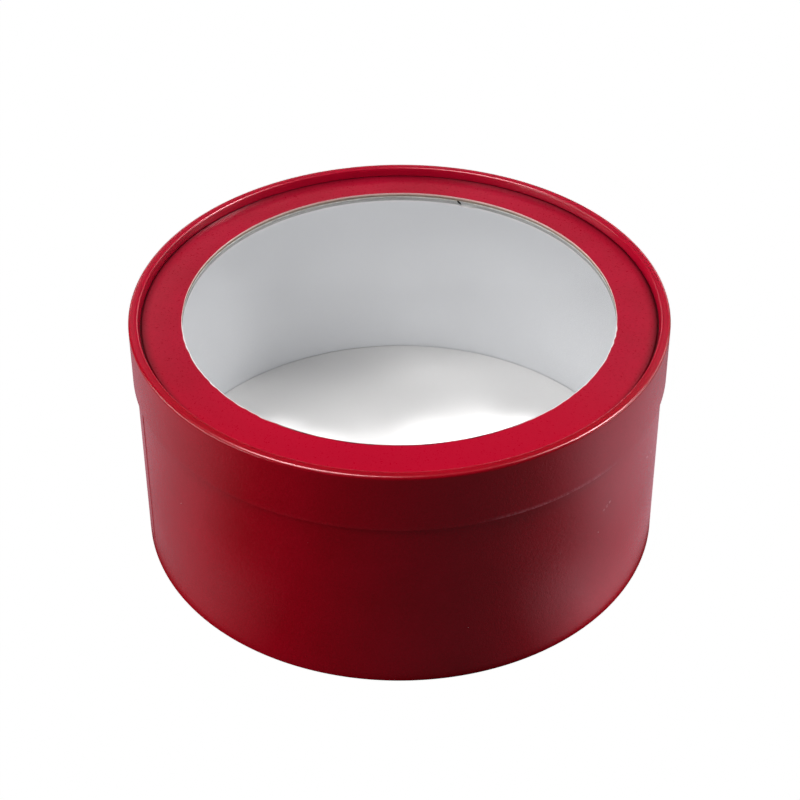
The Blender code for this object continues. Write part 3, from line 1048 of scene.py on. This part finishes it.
# The pale floor is what the camera sees. The box itself is lit by a darker one, with
# light round it, so that each side gets the light that the studio's floor gives it.
table = plane("table", 6.0, -0.0004, floor_material("table_pale", 0.82, 1.0))
table.visible_diffuse = table.visible_glossy = table.visible_transmission = False
table.visible_shadow = False
low = plane("bounce_floor", 6.0, -0.0002, floor_material("bounce_tone", 0.01, 0.0))
low.visible_camera = False


def area(name, shape, width, height, power, colour=(1, 1, 1)):
    data = bpy.data.lights.new(name, "AREA")
    data.shape = shape
    data.size = width
    if shape in ("RECTANGLE", "ELLIPSE"):
        data.size_y = height
    data.energy = power
    data.color = colour
    obj = bpy.data.objects.new(name, data)
    obj.visible_camera = False
    scene.collection.objects.link(obj)
    return obj


def softbox(name, azimuth, elevation, distance, width, height, power, colour=(1, 1, 1)):
    """Area light aimed at the box. Azimuth 0 is behind the camera, 90 to its right."""
    a, e = math.radians(azimuth), math.radians(elevation)
    obj = area(name, "RECTANGLE", width, height, power, colour)
    where = Vector((math.sin(a) * math.cos(e), -math.cos(a) * math.cos(e), math.sin(e)))
    obj.location = Vector((0, 0, 0.06)) + where * distance
    obj.rotation_mode = "QUATERNION"
    obj.rotation_quaternion = where.to_track_quat("Z", "Y")
    return obj


def lamp(name, x, y, z, size, power):
    """Small lamp inside the box, under the panel, facing the floor."""
    obj = area(name, "DISK", size, size, power)
    obj.location = (x, y, z)
    obj.data.spread = math.radians(120)
    return obj


def fill(name, x, y, z, size, power):
    """Soft lamp inside the box at the front, facing its rear wall."""
    obj = area(name, "DISK", size, size, power)
    obj.location = (x, y, z)
    obj.rotation_euler = (math.pi / 2, 0.0, 0.0)
    return obj


def glowing_ring(name, inner, outer_r, levels, z=-0.0001):
    """Ring of floor round the box whose brightness goes by azimuth: levels is a list of
    (azimuth, brightness), with straight steps between them."""
    columns, rings = 144, 6
    az = np.arange(columns) / columns * 360.0
    known = sorted(levels)
    where = [known[-1][0] - 360.0] + [a for a, _ in known] + [known[0][0] + 360.0]
    value = [known[-1][1]] + [v for _, v in known] + [known[0][1]]
    glow = np.interp(az, where, value)
    a = np.radians(az)
    verts, faces, field = [], [], []
    for q in range(rings + 1):
        r = inner + (outer_r - inner) * q / rings
        verts += [(r * math.sin(t), -r * math.cos(t), z) for t in a]
        field += glow.tolist()
    for q in range(rings):
        for i in range(columns):
            k = (i + 1) % columns
            if glow[i] > 0 or glow[k] > 0:
                faces.append((q * columns + i, (q + 1) * columns + i, (q + 1) * columns + k, q * columns + k))
    mesh = bpy.data.meshes.new(name)
    mesh.from_pydata(verts, [], faces)
    layer = mesh.attributes.new("glow", "FLOAT", "POINT")
    layer.data.foreach_set("value", np.array(field, np.float32))
    k = Nodes(name)
    k.set(Base_Color=(0.01, 0.01, 0.01), Roughness=0.9, Emission_Strength=k.field("glow"))
    # the floor next to the box is tinged by it
    k.shader.inputs["Emission Color"].default_value = (1.30, 0.98, 1.14, 1.0)
    mesh.materials.append(k.mat)
    obj = bpy.data.objects.new(name, mesh)
    scene.collection.objects.link(obj)
    obj.visible_camera = False
    return obj


# (name, azimuth, elevation, distance, width, height, power)
SOFTBOXES = (
    ("softbox_a_315_55", 315, 55, 1.5, 0.5, 0.5, 3.4),
    ("softbox_b_152_08", 152, 8, 1.5, 0.62, 0.18, 0.97),
    ("softbox_b_152_15", 152, 15, 1.5, 0.62, 0.18, 0.864),
    ("softbox_b_180_15", 180, 15, 1.5, 0.62, 0.18, 0.409),
    ("softbox_b_208_08", 208, 8, 1.5, 0.62, 0.18, 0.274),
    ("softbox_b_208_15", 208, 15, 1.5, 0.62, 0.18, 1.245),
    ("softbox_c_152_40", 152, 40, 1.5, 0.62, 0.2, 0.239),
    ("softbox_c_180_32", 180, 32, 1.5, 0.62, 0.2, 0.079),
    ("softbox_c_208_32", 208, 32, 1.5, 0.62, 0.2, 0.152),
    ("softbox_c_208_40", 208, 40, 1.5, 0.62, 0.2, 0.123),
    ("softbox_h_100_20", 100, 20, 1.5, 0.22, 0.34, 1.17),
    ("softbox_h_100_33", 100, 33, 1.5, 0.22, 0.34, 0.6),
    ("softbox_h_100_46", 100, 46, 1.5, 0.22, 0.34, 5.2),
    ("softbox_h_100_59", 100, 59, 1.5, 0.22, 0.34, 2.9),
    ("softbox_h_275_52", 275, 52, 1.5, 0.3, 0.32, 1.0),
    ("softbox_h_275_65", 275, 65, 1.5, 0.3, 0.32, 4.4),
    ("softbox_h_275_78", 275, 78, 1.5, 0.3, 0.32, 2.2),
    ("softbox_s_080_07", 80, 7, 1.5, 0.5, 0.3, 1.424),
    ("softbox_s_105_07", 105, 7, 1.5, 1.2, 0.3, 5.4),
    ("softbox_s_125_20", 125, 20, 1.5, 0.5, 0.4, 0.698),
    ("softbox_s_255_07", 255, 7, 1.5, 0.5, 0.3, 0.112),
    ("softbox_s_280_07", 280, 7, 1.5, 1.5, 0.3, 12.6),
)
# the same, for strips that only show as a gloss on the bends of the lid's paper
STRIPS = (
    ("strip_left_52", 275, 52, 1.5, 0.3, 0.36, 3.6),
    ("strip_left_65", 275, 65, 1.5, 0.3, 0.36, 24.0),
    ("strip_left_78", 275, 78, 1.5, 0.3, 0.36, 22.0),
    ("strip_right_33", 100, 33, 1.5, 0.22, 0.34, 8.0),
    ("strip_right_46", 100, 46, 1.5, 0.22, 0.34, 38.0),
    ("strip_right_59", 100, 59, 1.5, 0.22, 0.34, 12.0),
)
# (name, x, y, z, width, power)
FILLS = (
    ("inner_fill_c", 0, -0.085, 0.065, 0.05, 0.02600),
    ("inner_fill_r", 0.05, -0.085, 0.065, 0.05, 0.03698),
)
# (name, x, y, z, width, power)
LAMPS = (
    ("patch_1", -0.0620, 0.042, 0.020, 0.03, 0.00164),
    ("patch_2", -0.0465, 0.028, 0.020, 0.03, 0.00470),
    ("patch_3", -0.0300, 0.030, 0.020, 0.03, 0.00067),
    ("patch_4", 0.0155, 0.044, 0.020, 0.03, 0.00105),
    ("patch_5", 0.0440, 0.044, 0.020, 0.03, 0.00180),
    ("patch_6", 0.0620, 0.042, 0.020, 0.03, 0.00335),
    ("patch_7", 0.0775, 0.040, 0.020, 0.03, 0.00106),
    ("patch_8", -0.0550, 0.012, 0.030, 0.03, 0.00230),
    ("patch_9", -0.0080, 0.032, 0.030, 0.03, 0.00160),
    ("patch_10", 0.0160, 0.026, 0.030, 0.03, 0.00340),
    ("patch_11", 0.0360, 0.056, 0.030, 0.03, 0.00127),
    ("patch_12", 0.0150, 0.098, 0.050, 0.03, 0.00080),
)
# (azimuth, brightness) of the floor next to the box
GLOW_NEAR = (
    (30, 0.0857), (50, 0.6392), (70, 0.3925), (90, 0.3767), (110, 0.3936),
    (130, 0.1623), (155, 0.8), (180, 0), (205, 0.8), (230, 0.2479),
    (250, 0.374), (270, 0.2602), (290, 0.2574), (310, 0.2006), (330, 0),
)
# (azimuth, brightness) of the floor further out
GLOW_FAR = (
    (30, 0.0857), (50, 0.1419), (70, 0.645), (90, 0.5271), (110, 0.4238),
    (130, 0.1623), (155, 0.8), (180, 0), (205, 0.8), (230, 0.2479),
    (250, 0.3742), (270, 0.3507), (290, 0.273), (310, 0), (330, 0),
)
for name, azimuth, elevation, distance, width, height, power in SOFTBOXES:
    softbox(name, azimuth, elevation, distance, width, height, power)
on_rim = bpy.data.collections.new("lit_by_strips")
on_rim.objects.link(lid_paper)
for name, azimuth, elevation, distance, width, height, power in STRIPS:
    strip = softbox(name, azimuth, elevation, distance, width, height, power)
    strip.visible_diffuse = False
    strip.data.color = (1.0, 0.52, 0.57)
    strip.light_linking.receiver_collection = on_rim
for name, x, y, z, width, power in FILLS:
    fill(name, x, y, z, width, power)
for name, x, y, z, width, power in LAMPS:
    lamp(name, x, y, z, width, power)
glowing_ring("floor_glow_near", 0.126, 0.165, list(GLOW_NEAR))
glowing_ring("floor_glow_far", 0.165, 0.45, list(GLOW_FAR))

ELEVATION = math.radians(37.8815)
DISTANCE = 1.02812
ROLL = math.radians(-0.2518)
camera = bpy.data.cameras.new("camera")
camera.sensor_width = 36.0
camera.lens = 96.436
camera.shift_x = 0.00025
camera.shift_y = 0.01033
camera.clip_start, camera.clip_end = 0.01, 50.0
eye = bpy.data.objects.new("camera", camera)
scene.collection.objects.link(eye)
back = Vector((0.0, -math.cos(ELEVATION), math.sin(ELEVATION)))
eye.location = Vector((0, 0, HEIGHT / 2)) + back * DISTANCE
eye.rotation_mode = "QUATERNION"
eye.rotation_quaternion = back.to_track_quat("Z", "Y") @ Quaternion((0, 0, 1), ROLL)
scene.camera = eye

# --------------------------------------------------------------------------
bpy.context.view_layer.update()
